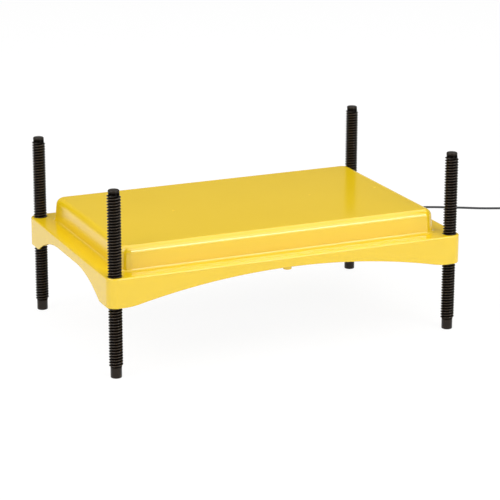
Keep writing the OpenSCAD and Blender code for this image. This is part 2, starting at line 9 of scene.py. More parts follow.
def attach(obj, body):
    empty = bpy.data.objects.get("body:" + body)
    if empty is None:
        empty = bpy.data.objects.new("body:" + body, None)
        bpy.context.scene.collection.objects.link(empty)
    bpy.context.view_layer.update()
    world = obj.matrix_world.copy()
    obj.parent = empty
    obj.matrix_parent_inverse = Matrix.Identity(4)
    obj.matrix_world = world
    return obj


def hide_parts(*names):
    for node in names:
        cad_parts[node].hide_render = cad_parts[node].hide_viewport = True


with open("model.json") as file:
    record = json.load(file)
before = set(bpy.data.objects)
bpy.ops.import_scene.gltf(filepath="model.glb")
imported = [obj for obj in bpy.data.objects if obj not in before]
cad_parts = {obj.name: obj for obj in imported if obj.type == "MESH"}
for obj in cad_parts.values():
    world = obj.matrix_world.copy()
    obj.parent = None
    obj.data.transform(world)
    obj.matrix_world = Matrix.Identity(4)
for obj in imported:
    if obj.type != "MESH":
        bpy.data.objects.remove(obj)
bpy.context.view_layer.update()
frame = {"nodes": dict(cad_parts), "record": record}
mm = 0.001
hair = 1e-6  # metres, for points that are meant to be one
up = (0, 0, 1)
scene = bpy.context.scene
scene.view_settings.view_transform = "Standard"
print("frame loaded")

# camera, at the height and angle of the photograph
shot = {
    "place": (-1.0711, -2.4372, 0.9110),
    "azimuth": -23.96,
    "elevation": 15.58,
    "roll": 0.19,
    "lens": 147.7,
    "sensor": 36,
    "shift": (-0.0008, -0.1012),
    "farthest": 100,
}


def makeCamera(s):
    data = bpy.data.cameras.new("photo_camera")
    data.lens, data.sensor_width = s["lens"], s["sensor"]
    data.shift_x, data.shift_y = s["shift"]
    data.clip_end = s["farthest"]
    cam = bpy.data.objects.new("photo_camera", data)
    scene.collection.objects.link(cam)
    a, e = math.radians(s["azimuth"]), math.radians(s["elevation"])
    back = Vector((math.sin(a) * math.cos(e), -math.cos(a) * math.cos(e), math.sin(e)))
    side = Vector((math.cos(a), math.sin(a), 0))
    facing = Matrix((side, back.cross(side), back)).transposed().to_4x4()
    tilt = Matrix.Rotation(math.radians(s["roll"]), 4, "Z")
    cam.matrix_world = Matrix.Translation(s["place"]) @ facing @ tilt
    scene.camera = cam


makeCamera(shot)
print("camera set")

# shader helpers
noiseSpan = (0.3, 0.7)  # most of a noise's values lie in here
octaves = {"tone": 4, "rough": 3, "grain": 2}
grainHeight = 0.0004  # metres


def newMaterial(name):
    material = bpy.data.materials.new(name)
    material.use_nodes = True
    tree = material.node_tree
    coords = tree.nodes.new("ShaderNodeTexCoord")
    return material, tree, tree.nodes["Principled BSDF"], coords.outputs["Object"]


def noiseOn(tree, coords, scale, detail):
    noise = tree.nodes.new("ShaderNodeTexNoise")
    noise.inputs["Scale"].default_value = scale
    noise.inputs["Detail"].default_value = detail
    tree.links.new(coords, noise.inputs["Vector"])
    return noise.outputs["Fac"]


def blendColor(tree, fac, tones):
    ramp = tree.nodes.new("ShaderNodeValToRGB")
    for stop, place, tone in zip(ramp.color_ramp.elements, noiseSpan, tones):
        stop.position = place
        stop.color = (*tone, 1)
    tree.links.new(fac, ramp.inputs["Fac"])
    return ramp.outputs["Color"]


def remap(tree, value, source, target):  # lays one span of values on another
    span = tree.nodes.new("ShaderNodeMapRange")
    for name, end in zip(("From Min", "From Max", "To Min", "To Max"), (*source, *target)):
        span.inputs[name].default_value = end
    tree.links.new(value, span.inputs["Value"])
    return span


def bumpFrom(tree, height, strength):
    bump = tree.nodes.new("ShaderNodeBump")
    bump.inputs["Strength"].default_value = strength
    bump.inputs["Distance"].default_value = grainHeight
    tree.links.new(height, bump.inputs["Height"])
    return bump.outputs["Normal"]


# finishes: two tones, two roughnesses, size and depth of the surface grain
finishes = {
    "yellow_shell": {
        "tones": ((0.815, 0.55, 0.006), (0.84, 0.57, 0.009)), "toneScale": 6, "spec": 0.9,
        "rough": (0.16, 0.2), "roughScale": 14, "grain": 420, "grainDepth": 0.01, "ior": 1.52,
    },
    "leg_black": {
        # warm brown base: partly the legs' own warm black, partly a painted warm reflection
        "tones": ((0.026, 0.016, 0.007), (0.036, 0.022, 0.01)), "toneScale": 60, "spec": 0.55,
        "rough": (0.12, 0.2), "roughScale": 90, "grain": 900, "grainDepth": 0.03, "ior": 1.48,
        # painted shade: thread roots are mixed towards a near-black tone with weak gloss
        "paintedGrooveShade": (0.002, 0.0012, 0.0006), "paintedGrooveSpec": 0.03, "paintedShadeFrom": 0.55,
    },
    "panel_black": {
        "tones": ((0.012, 0.012, 0.012), (0.02, 0.02, 0.02)), "toneScale": 30,
        "rough": (0.5, 0.62), "roughScale": 40, "grain": 700, "grainDepth": 0.25, "ior": 1.5,
    },
    "film_amber": {
        "tones": ((0.26, 0.1, 0.012), (0.33, 0.14, 0.02)), "toneScale": 20,
        "rough": (0.15, 0.25), "roughScale": 40, "grain": 300, "grainDepth": 0.03, "ior": 1.6,
    },
    "foil": {
        "tones": ((0.5, 0.5, 0.51), (0.6, 0.6, 0.61)), "toneScale": 200, "metal": 1.0,
        "rough": (0.25, 0.4), "roughScale": 300, "grain": 800, "grainDepth": 0.05, "ior": 1.45,
    },
    "felt": {
        "tones": ((0.5, 0.48, 0.42), (0.66, 0.64, 0.58)), "toneScale": 300,
        "rough": (0.85, 0.95), "roughScale": 300, "grain": 500, "grainDepth": 0.8, "ior": 1.45,
    },
    "part_black": {
        "tones": ((0.01, 0.01, 0.01), (0.018, 0.018, 0.018)), "toneScale": 80,
        "rough": (0.4, 0.5), "roughScale": 80, "grain": 900, "grainDepth": 0.08, "ior": 1.5,
    },
    "steel": {
        "tones": ((0.38, 0.38, 0.38), (0.5, 0.5, 0.5)), "toneScale": 400, "metal": 1.0,
        "rough": (0.28, 0.42), "roughScale": 500, "grain": 1500, "grainDepth": 0.04, "ior": 1.45,
    },
    "nickel": {
        "tones": ((0.6, 0.58, 0.53), (0.68, 0.66, 0.61)), "toneScale": 300, "metal": 1.0,
        "rough": (0.12, 0.2), "roughScale": 400, "grain": 1500, "grainDepth": 0.02, "ior": 1.45,
    },
    "block_ivory": {
        "tones": ((0.66, 0.6, 0.45), (0.72, 0.66, 0.5)), "toneScale": 60,
        "rough": (0.4, 0.5), "roughScale": 80, "grain": 800, "grainDepth": 0.05, "ior": 1.5,
    },
    "wire_red": {
        "tones": ((0.2, 0.006, 0.004), (0.26, 0.01, 0.007)), "toneScale": 100,
        "rough": (0.4, 0.5), "roughScale": 150, "grain": 1200, "grainDepth": 0.05, "ior": 1.5,
    },
    "cord": {
        "tones": ((0.022, 0.023, 0.026), (0.034, 0.035, 0.038)), "toneScale": 120,
        "rough": (0.42, 0.55), "roughScale": 200, "grain": 1400, "grainDepth": 0.08, "ior": 1.5,
    },
}


def paintGrooveShade(tree, shader, color, f):  # painted shade: thread roots darkened and dulled, crests keep the glossy tone
    mark = tree.nodes.new("ShaderNodeAttribute")
    mark.attribute_name = "groove"
    depth = remap(tree, mark.outputs["Fac"], (0, f["paintedShadeFrom"]), (0, 1)).outputs["Result"]
    gloss = remap(tree, depth, (0, 1), (f["spec"], f["paintedGrooveSpec"])).outputs["Result"]
    tree.links.new(gloss, shader.inputs["Specular IOR Level"])
    dim = tree.nodes.new("ShaderNodeMixRGB")
    dim.inputs["Color2"].default_value = (*f["paintedGrooveShade"], 1)
    tree.links.new(depth, dim.inputs["Fac"])
    tree.links.new(color, dim.inputs["Color1"])
    return dim.outputs["Color"]


def makeFinish(name, f):
    material, tree, shader, coords = newMaterial(name)
    color = blendColor(tree, noiseOn(tree, coords, f["toneScale"], octaves["tone"]), f["tones"])
    # legs only: painted shade in the thread roots
    if "paintedGrooveShade" in f:
        color = paintGrooveShade(tree, shader, color, f)
    tree.links.new(color, shader.inputs["Base Color"])
    worn = noiseOn(tree, coords, f["roughScale"], octaves["rough"])
    rough = remap(tree, worn, noiseSpan, f["rough"]).outputs["Result"]
    tree.links.new(rough, shader.inputs["Roughness"])
    grain = noiseOn(tree, coords, f["grain"], octaves["grain"])
    tree.links.new(bumpFrom(tree, grain, f["grainDepth"]), shader.inputs["Normal"])
    shader.inputs["IOR"].default_value = f["ior"]
    shader.inputs["Metallic"].default_value = f.get("metal", 0.0)
    shader.inputs["Specular IOR Level"].default_value = f.get("spec", 0.5)
    return material


looks = {name: makeFinish(name, f) for name, f in finishes.items()}
for part in frame["record"]["subparts"]:
    node = frame["nodes"][part["node"]]
    node.data.materials.clear()
    node.data.materials.append(looks[part["material_slot"]])
print("finishes made")


# mesh helpers
def chain(bm, points):
    verts = [bm.verts.new([c * mm for c in p]) for p in points]
    return [bm.edges.new(pair) for pair in zip(verts, verts[1:])]


def closedChain(bm, points):
    edges = chain(bm, points)
    return edges + [bm.edges.new((edges[-1].verts[1], edges[0].verts[0]))]


def vertsOf(edges):
    return list(dict.fromkeys(vert for edge in edges for vert in edge.verts))


def onlyVerts(geom):
    return [g for g in geom if isinstance(g, bmesh.types.BMVert)]


def onlyEdges(geom):
    return [g for g in geom if isinstance(g, bmesh.types.BMEdge)]


def everything(bm):
    return bm.verts[:] + bm.edges[:] + bm.faces[:]


def extended(bm, edges):  # gives the new edges and their points
    made = bmesh.ops.extrude_edge_only(bm, edges=edges)["geom"]
    verts = onlyVerts(made)
    fresh = set(verts)
    return [e for e in onlyEdges(made) if fresh.issuperset(e.verts)], verts


def sweep(bm, edges, axis, stops):  # pulls an edge chain straight along x (0) or y (1)
    for stop in stops:
        edges, verts = extended(bm, edges)
        for vert in verts:
            vert.co[axis] = stop * mm
    return edges


def turn(bm, edges, centre, degrees, steps):  # swings an edge chain round an upright axis
    made = bmesh.ops.spin(
        bm, geom=vertsOf(edges) + edges, cent=[c * mm for c in centre], axis=up,
        angle=math.radians(degrees), steps=steps,
    )["geom_last"]
    return onlyEdges(made)


def fullTurn(bm, edges, centre, steps):
    bmesh.ops.spin(
        bm, geom=vertsOf(edges) + edges, cent=[c * mm for c in centre], axis=up,
        angle=math.tau, steps=steps, use_merge=True,
    )


def arcPoints(cx, cz, r, start, stop, count):
    angles = [math.radians(start + (stop - start) * i / count) for i in range(count + 1)]
    return [(cx + r * math.cos(a), cz + r * math.sin(a)) for a in angles]


def spaced(spans):  # from (first, step, count) to one list of places
    return [first + step * i for first, step, count in spans for i in range(count)]


def revolved(bm, profile, sides, place):  # closed turned solid from (radius, height) points
    before = set(bm.verts)
    fullTurn(bm, chain(bm, [(r, 0, z) for r, z in profile]), (0, 0, 0), sides)
    made = [v for v in bm.verts if v not in before]
    bmesh.ops.remove_doubles(bm, verts=made, dist=hair)
    bmesh.ops.transform(bm, matrix=place, verts=[v for v in made if v.is_valid])


def circle(bm, x, y, z, r, sides):
    spot = Matrix.Translation((x * mm, y * mm, z * mm))
    verts = bmesh.ops.create_circle(bm, segments=sides, radius=r * mm, matrix=spot)["verts"]
    return list(dict.fromkeys(edge for vert in verts for edge in vert.link_edges))


def closeRing(bm, edges, x, y, rows):  # takes a ring through (radius, height) rows, then fills it
    for r, z in rows:
        edges, verts = extended(bm, edges)
        for vert in verts:
            flat = Vector((vert.co.x - x * mm, vert.co.y - y * mm)).normalized() * r * mm
            vert.co = (x * mm + flat.x, y * mm + flat.y, z * mm)
    bmesh.ops.edgeloop_fill(bm, edges=edges)


def closeFlat(bm, edges):
    bmesh.ops.triangle_fill(bm, use_beauty=True, edges=edges, normal=up)


def rimsAt(bm, z, test=lambda p: True):  # open edges that lie at one height
    level = z * mm
    return [
        e for e in bm.edges
        if e.is_boundary and all(abs(v.co.z - level) < hair and test(v.co) for v in e.verts)
    ]


def sharpEdges(bm, degrees):
    return [e for e in bm.edges if e.calc_face_angle(0) > math.radians(degrees)]


def topOf(edge):
    return max(v.co.z for v in edge.verts)


def rounded(bm, geom, r, segments, affect="EDGES"):
    bmesh.ops.bevel(
        bm, geom=geom, offset=r * mm, offset_type="OFFSET", segments=segments, profile=0.5,
        affect=affect, material=-1,
    )


def mirrored(bm, weld):  # a quarter to the whole
    for axis in "XY":
        bmesh.ops.mirror(
            bm, geom=everything(bm), matrix=Matrix(), merge_dist=2 * hair, axis=axis
        )
    bmesh.ops.remove_doubles(bm, verts=bm.verts, dist=weld)


def addPiece(name, bm, body, slot, replaced, sharp=38):
    bmesh.ops.recalc_face_normals(bm, faces=bm.faces)
    limit = math.radians(sharp)
    for face in bm.faces:
        face.smooth = True
    for edge in bm.edges:
        edge.smooth = edge.calc_face_angle(0) < limit
    mesh = bpy.data.meshes.new(name)
    bm.to_mesh(mesh)
    bm.free()
    mesh.materials.append(looks[slot])
    piece = bpy.data.objects.new(name, mesh)
    scene.collection.objects.link(piece)
    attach(piece, body)
    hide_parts(*replaced)
    return piece


def keepFlats(piece):
    weighted = piece.modifiers.new("flat_faces", "WEIGHTED_NORMAL")
    weighted.keep_sharp = True


# moulded cover
cover = {
    "legX": 237.5, "legY": 147.0, "bossR": 12.5, "rideZ": 94.0, "flangeZ": 133.0, "deckZ": 164.0,
    "flangeW": 25.0, "lean": 3.0, "wall": 2.5, "cornerR": 16.0, "deckEdgeR": 10.0, "footR": 3.0,
    "flangeEdgeR": 2.0, "boreR": 9.3, "boreChamfer": 0.4,
    "archRise": 25.5, "archBlend": 2.4, "frontArch": 219.0, "sideArch": 121.5, "sideFlat": 35.0,
    "lowerEdgeR": 0.8, "lowerEdgeAngle": 55, "lowerEdgeTop": 125.0, "lowerEdgeRise": 10.0,
    "sinks": ((-100, 0), (100, 0), (200, 0)), "sinkR": 2.6, "sinkDepth": 0.65,
    "sinkForm": ((0.72, 0.3), (0.45, 0.75), (0.2, 1.0)),  # shares of radius and depth
    "guard": 1.0, "rimGuard": 0.4, "wallGuard": 0.05,  # rows that keep flats flat beside curves
    "edgeSteps": 14, "footSteps": 10, "hollowSteps": 6, "rimSteps": 6, "cornerSteps": 20,
    "bossSteps": 36, "boreSteps": 48, "lowerEdgeSteps": 3, "sinkSides": 28,
    "frontColumns": ((6, 6, 33), (201, 1.5, 16), (227, 0, 1)),  # first, step, count
    "sideColumns": ((12, 12, 2), (35, 3, 27), (115, 1.25, 12), (132, 4, 2)),
    "bossReach": 20.0, "slack": 0.01,
}


def coverSizes(c):  # sizes that follow from the settings
    insideR = c["bossR"] - c["wall"]
    meet = math.sqrt(c["bossR"] ** 2 - insideR**2)  # where the inner wall runs into the boss
    return {
        "halfX": c["legX"] + c["bossR"], "halfY": c["legY"] + c["bossR"],
        "underFlange": c["flangeZ"] - c["wall"], "underDeck": c["deckZ"] - c["wall"],
        "insideR": insideR, "meet": meet, "stopX": c["legX"] - meet, "stopY": c["legY"] - meet,
    }


def addDeck(bm, c):  # a quarter of it: rounded edge, leaning wall, fillet on the flange
    lean = math.atan(c["lean"] / (c["deckZ"] - c["flangeZ"]))
    leanDeg = math.degrees(lean)
    axisX, axisY = (c[half] - c["flangeW"] - c["cornerR"] for half in ("halfX", "halfY"))

    def wallR(z):
        return c["cornerR"] - (z - c["flangeZ"]) * math.tan(lean)

    edgeZ, footZ = c["deckZ"] - c["deckEdgeR"], c["flangeZ"] + c["footR"]
    edgeR = wallR(edgeZ) - c["deckEdgeR"] / math.cos(lean)
    footR = wallR(footZ) + c["footR"] / math.cos(lean)
    edge = arcPoints(edgeR, edgeZ, c["deckEdgeR"], 90, leanDeg, c["edgeSteps"])
    foot = arcPoints(footR, footZ, c["footR"], 180 + leanDeg, 270, c["footSteps"])
    nearEdge = [a + (b - a) * c["wallGuard"] for a, b in zip(edge[-1], foot[0])]
    nearFoot = [a + (b - a) * c["wallGuard"] for a, b in zip(foot[0], edge[-1])]
    rows = [(edgeR - c["guard"], c["deckZ"]), *edge, nearEdge]
    rows += [nearFoot, *foot, (footR + c["guard"], c["flangeZ"])]
    hollow = [(wallR(c["underFlange"]) - c["wall"] / math.cos(lean), c["underFlange"])]
    hollow += arcPoints(edgeR, edgeZ, c["deckEdgeR"] - c["wall"], leanDeg, 90, c["hollowSteps"])
    for profile in (rows, hollow):
        edges = chain(bm, [(0, axisY + r, z) for r, z in profile])
        edges = sweep(bm, edges, 0, [axisX])
        edges = turn(bm, edges, (axisX, axisY, 0), -90, c["cornerSteps"])
        sweep(bm, edges, 1, [0])


def addSkirt(bm, c):  # a quarter of the flange's edge and skirt, outside and inside
    r, rim, low, guard = c["bossR"], c["flangeEdgeR"], c["rideZ"], c["guard"]
    corner = (c["legX"], c["legY"], 0)
    profile = [(r - rim - c["rimGuard"], c["flangeZ"])]
    profile += arcPoints(r - rim, c["flangeZ"] - rim, rim, 90, 0, c["rimSteps"])
    profile += [(r, profile[-1][1] - guard), (r, low)]
    profile += [(c["insideR"], z) for z in (low, c["underFlange"] - guard, c["underFlange"])]
    longRows = chain(bm, [(0, c["legY"] + p, z) for p, z in profile])
    longRows = sweep(bm, longRows, 0, spaced(c["frontColumns"]) + [c["stopX"]])
    shortRows = chain(bm, [(c["legX"] + p, 0, z) for p, z in profile])
    sweep(bm, shortRows, 1, spaced(c["sideColumns"]) + [c["stopY"]])
    wallY, wallTop = (c["legY"] + c["insideR"]) * mm + hair, (c["underFlange"] + guard) * mm

    def isInner(edge):
        return all(v.co.y < wallY and v.co.z < wallTop for v in edge.verts)

    def isFloor(edge):
        return all(abs(v.co.z - low * mm) < hair for v in edge.verts)

    inner = [e for e in longRows if isInner(e)]
    outer = [e for e in longRows if not isInner(e) and not isFloor(e)]
    outer = sweep(bm, outer, 0, [c["legX"]])
    outer = turn(bm, outer, corner, -90, c["cornerSteps"])
    sweep(bm, outer, 1, [c["stopY"]])
    start = math.degrees(math.atan2(c["insideR"], -c["meet"]))
    turn(bm, inner, corner, 2 * (225 - start), c["bossSteps"])  # 225 points to the plate's middle


def addBore(bm, c):  # the leg's bore, with a small chamfer at both ends
    r, ease, top, low = c["boreR"], c["boreChamfer"], c["flangeZ"], c["rideZ"]
    line = [(r + ease, top), (r, top - ease), (r, low + ease), (r + ease, low)]
    edges = chain(bm, [(c["legX"] + p, c["legY"], z) for p, z in line])
    fullTurn(bm, edges, (c["legX"], c["legY"], 0), c["boreSteps"])


def archHeight(c, run, half, flat):  # height of the skirt's lower edge, eased where the arch ends
    reach, rise = half - flat, c["archRise"]
    r = (reach**2 + rise**2) / (2 * rise)
    along = max(abs(run) - flat, 0)
    lift = rise - r + math.sqrt(max(r**2 - along**2, 0)) if along < r else -rise
    ease = max(c["archBlend"] - abs(lift), 0) / c["archBlend"]
    return c["rideZ"] + max(lift, 0) + ease**2 * c["archBlend"] / 4


def raiseArches(bm, c):  # the skirt's lower edge rises into its arches
    slack = c["slack"]
    skirtX, skirtY = c["halfX"] - c["wall"] - slack, c["halfY"] - c["wall"] - slack
    for vert in bm.verts:
        x, y, z = (q / mm for q in vert.co)
        if abs(z - c["rideZ"]) > slack:
            continue
        if y > skirtY and x < c["stopX"] + slack:
            vert.co.z = archHeight(c, x, c["frontArch"], 0) * mm
        elif x > skirtX and y < c["stopY"] + slack:
            vert.co.z = archHeight(c, y, c["sideArch"], c["sideFlat"]) * mm


def addSinks(bm, c):  # sink marks in the deck, over the posts inside
    r, z = c["sinkR"], c["deckZ"]
    rows = [(r * share, z - c["sinkDepth"] * sunk) for share, sunk in c["sinkForm"]]
    for x, y in c["sinks"]:
        closeRing(bm, circle(bm, x, y, z, r, c["sinkSides"]), x, y, rows)


def coverMesh(c):
    bm = bmesh.new()
    addDeck(bm, c)
    addSkirt(bm, c)
    addBore(bm, c)
    bmesh.ops.remove_doubles(bm, verts=bm.verts, dist=2 * hair)
    raiseArches(bm, c)
    mirrored(bm, 2 * hair)
    addSinks(bm, c)
    for z in (c["deckZ"], c["flangeZ"], c["underFlange"], c["underDeck"]):
        closeFlat(bm, rimsAt(bm, z))
    for x in (-c["legX"], c["legX"]):
        for y in (-c["legY"], c["legY"]):
            boss, reach = Vector((x * mm, y * mm)), c["bossReach"] * mm
            closeFlat(bm, rimsAt(bm, c["rideZ"], lambda p: (p.xy - boss).length < reach))
    bmesh.ops.recalc_face_normals(bm, faces=bm.faces)
    lower = [
        e for e in sharpEdges(bm, c["lowerEdgeAngle"])
        if topOf(e) < c["lowerEdgeTop"] * mm
        and abs(e.verts[0].co.z - e.verts[1].co.z) < c["lowerEdgeRise"] * mm
    ]
    rounded(bm, lower, c["lowerEdgeR"], c["lowerEdgeSteps"])
    loose = sum(1 for e in bm.edges if len(e.link_faces) != 2)
    print("cover faces", len(bm.faces), "open edges", loose)
    return bm


cover.update(coverSizes(cover))
coverPiece = addPiece("moulded_cover", coverMesh(cover), "shell", "yellow_shell", ["top_cover"])
keepFlats(coverPiece)
print("cover made")

# threaded legs and their plain feet
leg = {
    "pitch": 3.75, "crestR": 9.0, "rootR": 6.9, "plainR": 7.35, "low": 14.3, "high": 239.0,
    "top": 245.0, "tipEdge": 1.65, "tipSteps": 5, "spigotR": 4.0, "spigotEnd": 3.8,
    "steps": 32, "sharp": 60, "plainPaintedShade": 0.3,
    # one turn in shares of pitch and depth
    "form": ((0, 0), (0.12, 0), (0.4, 0.88), (0.46, 1), (0.58, 1), (0.64, 0.88), (0.92, 0), (1, 0)),
}
foot = {
    "r": 7.35, "h": 14.0, "edge": 1.0, "edgeSteps": 5, "chamfer": 0.3, "boreR": 4.3, "floor": 3.5,
    "sides": 48,
}
corners = {
    end + "_" + side: (x * cover["legX"], y * cover["legY"])
    for end, y in (("front", -1), ("rear", 1))
    for side, x in (("left", -1), ("right", 1))
}


def legMesh(s):
    bm = bmesh.new()
    pitch, deep = s["pitch"], s["crestR"] - s["rootR"]
    turns = math.ceil((s["high"] - s["low"]) / pitch) + 2  # more than is kept
    start = s["low"] - pitch * 1.5
    edges = chain(bm, [(s["rootR"] + deep * h, 0, start + pitch * z) for z, h in s["form"]])
    bmesh.ops.spin(
        bm, geom=vertsOf(edges) + edges, cent=(0, 0, 0), axis=up,
        dvec=(0, 0, pitch * mm / s["steps"]), angle=math.tau, steps=s["steps"],
    )
    oneTurn = everything(bm)
    for i in range(1, turns):
        again = onlyVerts(bmesh.ops.duplicate(bm, geom=oneTurn)["geom"])
        bmesh.ops.translate(bm, verts=again, vec=(0, 0, i * pitch * mm))
    bmesh.ops.remove_doubles(bm, verts=bm.verts, dist=5 * hair)
    for z, way in ((s["low"], -1), (s["high"], 1)):
        bmesh.ops.bisect_plane(
            bm, geom=everything(bm), dist=hair / 10, plane_co=(0, 0, z * mm),
            plane_no=(0, 0, way), clear_outer=True,
        )
    for vert in bm.verts:  # the thread fades into the plain ends
        flat = vert.co.xy
        inside = min(vert.co.z - s["low"] * mm, s["high"] * mm - vert.co.z)
        most = s["plainR"] * mm + max(inside, 0)
        if flat.length > most:
            vert.co.xy = flat.normalized() * most
    spigot = [(s["spigotR"], s["low"]), (s["spigotR"], s["spigotEnd"])]
    edge = s["tipEdge"]
    tip = arcPoints(s["plainR"] - edge, s["top"] - edge, edge, 0, 90, s["tipSteps"])
    for z, rows in ((s["low"], spigot), (s["high"], tip)):
        closeRing(bm, rimsAt(bm, z), 0, 0, rows)
    groove = bm.verts.layers.float.new("groove")  # painted shade share: 0 on the thread's crest, 1 at its root; plain ends take a fixed share
    for vert in bm.verts:
        threaded = s["low"] * mm < vert.co.z < s["high"] * mm
        hollow = min(max((s["crestR"] - vert.co.xy.length / mm) / deep, 0), 1)
        vert[groove] = hollow if threaded else s["plainPaintedShade"]
    return bm


def footMesh(s, x, y):
    bm = bmesh.new()
    r, h, ease = s["r"], s["h"], s["chamfer"]
    profile = [(0, 0), *arcPoints(r - s["edge"], s["edge"], s["edge"], -90, 0, s["edgeSteps"])]
    profile += [(r, h - ease), (r - ease, h), (s["boreR"], h), (s["boreR"], s["floor"])]
    profile += [(0, s["floor"])]
    revolved(bm, profile, s["sides"], Matrix.Translation((x * mm, y * mm, 0)))
    # the feet take the same fixed share of painted shade as the legs' plain ends
    groove = bm.verts.layers.float.new("groove")
    for vert in bm.verts:
        vert[groove] = leg["plainPaintedShade"]
    return bm


oneLeg = legMesh(leg)
for name, (x, y) in corners.items():
    legNode, footNode = "leg_" + name, "foot_" + name
    bm = oneLeg.copy()
    bmesh.ops.translate(bm, verts=bm.verts, vec=(x * mm, y * mm, 0))
    addPiece("threaded_leg_" + name, bm, legNode, "leg_black", [legNode], leg["sharp"])
    addPiece("plain_foot_" + name, footMesh(foot, x, y), footNode, "leg_black", [footNode])
oneLeg.free()
print("legs made")

# base frame with its screw cups, and the screws in them
base = {
    "halfX": 247.1, "halfY": 156.6, "z": 119.5, "t": 2.5, "windowX": 205.0, "windowY": 114.5,
    "clearR": 12.9, "clearSteps": 28, "edge": 0.5, "edgeSteps": 2, "edgeAngle": 60,
    "cupR": 5.75, "cupZ": 113.0, "cupEdge": 0.7, "cupEdgeSteps": 4, "cupSides": 40,
    "seatR": 3.7, "seatZ": 117.0, "mouth": 0.3,
    "flare": 0.5, "bite": 0.1, "sunk": 1.0,  # where the cup grows out of the plate
    "cups": (
        (0, 145), (0, -145), (150, 145), (150, -145), (-150, 145), (-150, -145),
        (235.5, 0), (-235.5, 0),
    ),
}
screw = {
    "headR": 3.3, "headH": 2.2, "headEdge": 0.6, "headSides": 32, "headArc": -60, "headSteps": 2,
    "shankR": 1.45, "slot": 0.5, "arm": 1.8, "deep": 1.0,
    "panel": ((100, 0), (-100, 0)), "panelZ": 122.0, "frameGrip": 12.0, "panelGrip": 14.0,
}


def addPlate(bm, s):
    legX, legY, z = cover["legX"], cover["legY"], s["z"]
    gapX = math.sqrt(s["clearR"] ** 2 - (s["halfY"] - legY) ** 2)
    gapY = math.sqrt(s["clearR"] ** 2 - (s["halfX"] - legX) ** 2)
    start = chain(bm, [(0, s["halfY"], z), (legX - gapX, s["halfY"], z)])[0].verts[1]
    first = math.atan2(s["halfY"] - legY, -gapX)
    last = math.atan2(-gapY, s["halfX"] - legX) + math.tau
    bmesh.ops.spin(
        bm, geom=[start], cent=(legX * mm, legY * mm, z * mm), axis=up, angle=last - first,
        steps=s["clearSteps"],
    )
    chain(bm, [(s["halfX"], legY - gapY, z), (s["halfX"], 0, z)])
    chain(bm, [(0, s["windowY"], z), (s["windowX"], s["windowY"], z), (s["windowX"], 0, z)])
    mirrored(bm, 5 * hair)
    closeFlat(bm, bm.edges[:])
    top = bmesh.ops.extrude_face_region(bm, geom=bm.faces[:], use_keep_orig=True)["geom"]
    bmesh.ops.translate(bm, verts=onlyVerts(top), vec=(0, 0, s["t"] * mm))
    bmesh.ops.recalc_face_normals(bm, faces=bm.faces)
    middle = (z + s["t"] / 2) * mm
    rims = [e for e in sharpEdges(bm, s["edgeAngle"]) if topOf(e) < middle]
    rounded(bm, rims, s["edge"], s["edgeSteps"])


def baseMesh(s):
    bm = bmesh.new()
    addPlate(bm, s)
    r, low, edge, mouth = s["cupR"], s["cupZ"], s["cupEdge"], s["mouth"]
    wide, root = r + s["flare"], s["z"]
    cup = [(0, s["seatZ"]), (s["seatR"], s["seatZ"])]
    cup += [(s["seatR"], low + mouth), (s["seatR"] + mouth, low)]
    cup += arcPoints(r - edge, low + edge, edge, -90, 0, s["cupEdgeSteps"])
    cup += [(r, root - s["flare"]), (wide, root + s["bite"])]
    cup += [(wide, root + s["sunk"]), (0, root + s["sunk"])]
    for x, y in s["cups"]:
        revolved(bm, cup, s["cupSides"], Matrix.Translation((x * mm, y * mm, 0)))
    return bm


def addScrew(bm, s, x, y, z, grip):  # pan head with a cross, its seat at height z
    w, arm, low = s["slot"], s["arm"], z - s["headH"]
    edge, faceR = s["headEdge"], s["headR"] - s["headEdge"]
    cross = []
    for i, j in ((1, 0), (0, 1), (-1, 0), (0, -1)):
        quarter = ((arm, w), (w, w), (w, arm))
        cross += [(x + p * i - q * j, y + p * j + q * i, low) for p, q in quarter]
    inner = closedChain(bm, cross)
    outer = circle(bm, x, y, low, faceR, s["headSides"])
    closeFlat(bm, inner + outer)
    inner, verts = extended(bm, inner)
    bmesh.ops.translate(bm, verts=verts, vec=(0, 0, s["deep"] * mm))
    bmesh.ops.edgeloop_fill(bm, edges=inner)
    rows = arcPoints(faceR, low + edge, edge, s["headArc"], 0, s["headSteps"])
    rows += [(s["headR"], z), (s["shankR"], z), (s["shankR"], z + grip)]
    closeRing(bm, outer, x, y, rows)


addPiece("screwed_base", baseMesh(base), "shell", "yellow_shell", ["base_frame"])
frameScrews, panelScrews = bmesh.new(), bmesh.new()
for x, y in base["cups"]:
    addScrew(frameScrews, screw, x, y, base["seatZ"], screw["frameGrip"])
for x, y in screw["panel"]:
    addScrew(panelScrews, screw, x, y, screw["panelZ"], screw["panelGrip"])
addPiece("cross_screws_frame", frameScrews, "shell", "steel", ["frame_screws"])
addPiece("cross_screws_panel", panelScrews, "shell", "steel", ["panel_screws"])
print("base and screws made")

# supply lead: the same route as its solids, then the tied coil
lead = {
    "d": 3.5, "between": 6, "turns": 8.25, "coilR": 30.0, "gap": 0.5, "floor": 1.25, "rings": 36,
    "start": (640.0, 315.5), "heading": -27.8, "climb": 0.25, "tail": 17.8, "tailSteps": 3,
    "plugZ": 5.0, "exit": (200.0, 183.5, 127.2), "endGap": 0.2, "roundness": 3,
    "stated": 1.76,  # length in metres
    "points": (
        (200, 183.7, 127.2), (200, 195, 126.5), (200.5, 208, 122.5), (201.5, 222, 113),
        (203.5, 235, 98), (206.5, 246, 79), (210.5, 256, 58), (215.5, 266, 37), (222.5, 278, 19),
        (232, 291, 7.5), (245, 306, 2.6), (263, 322, 1.8), (285, 339, 1.8), (310, 355, 1.8),
        (340, 371, 1.8), (372, 384, 1.8), (405, 392.5, 1.8), (436, 396, 1.8), (466, 394.5, 1.8),
        (494, 388, 1.8), (521, 376, 1.8), (548, 361.5, 1.8), (576, 345.5, 1.8), (604, 333.5, 1.8),
        (622, 325, 2.2), (640, 315.5, 3),
    ),
}


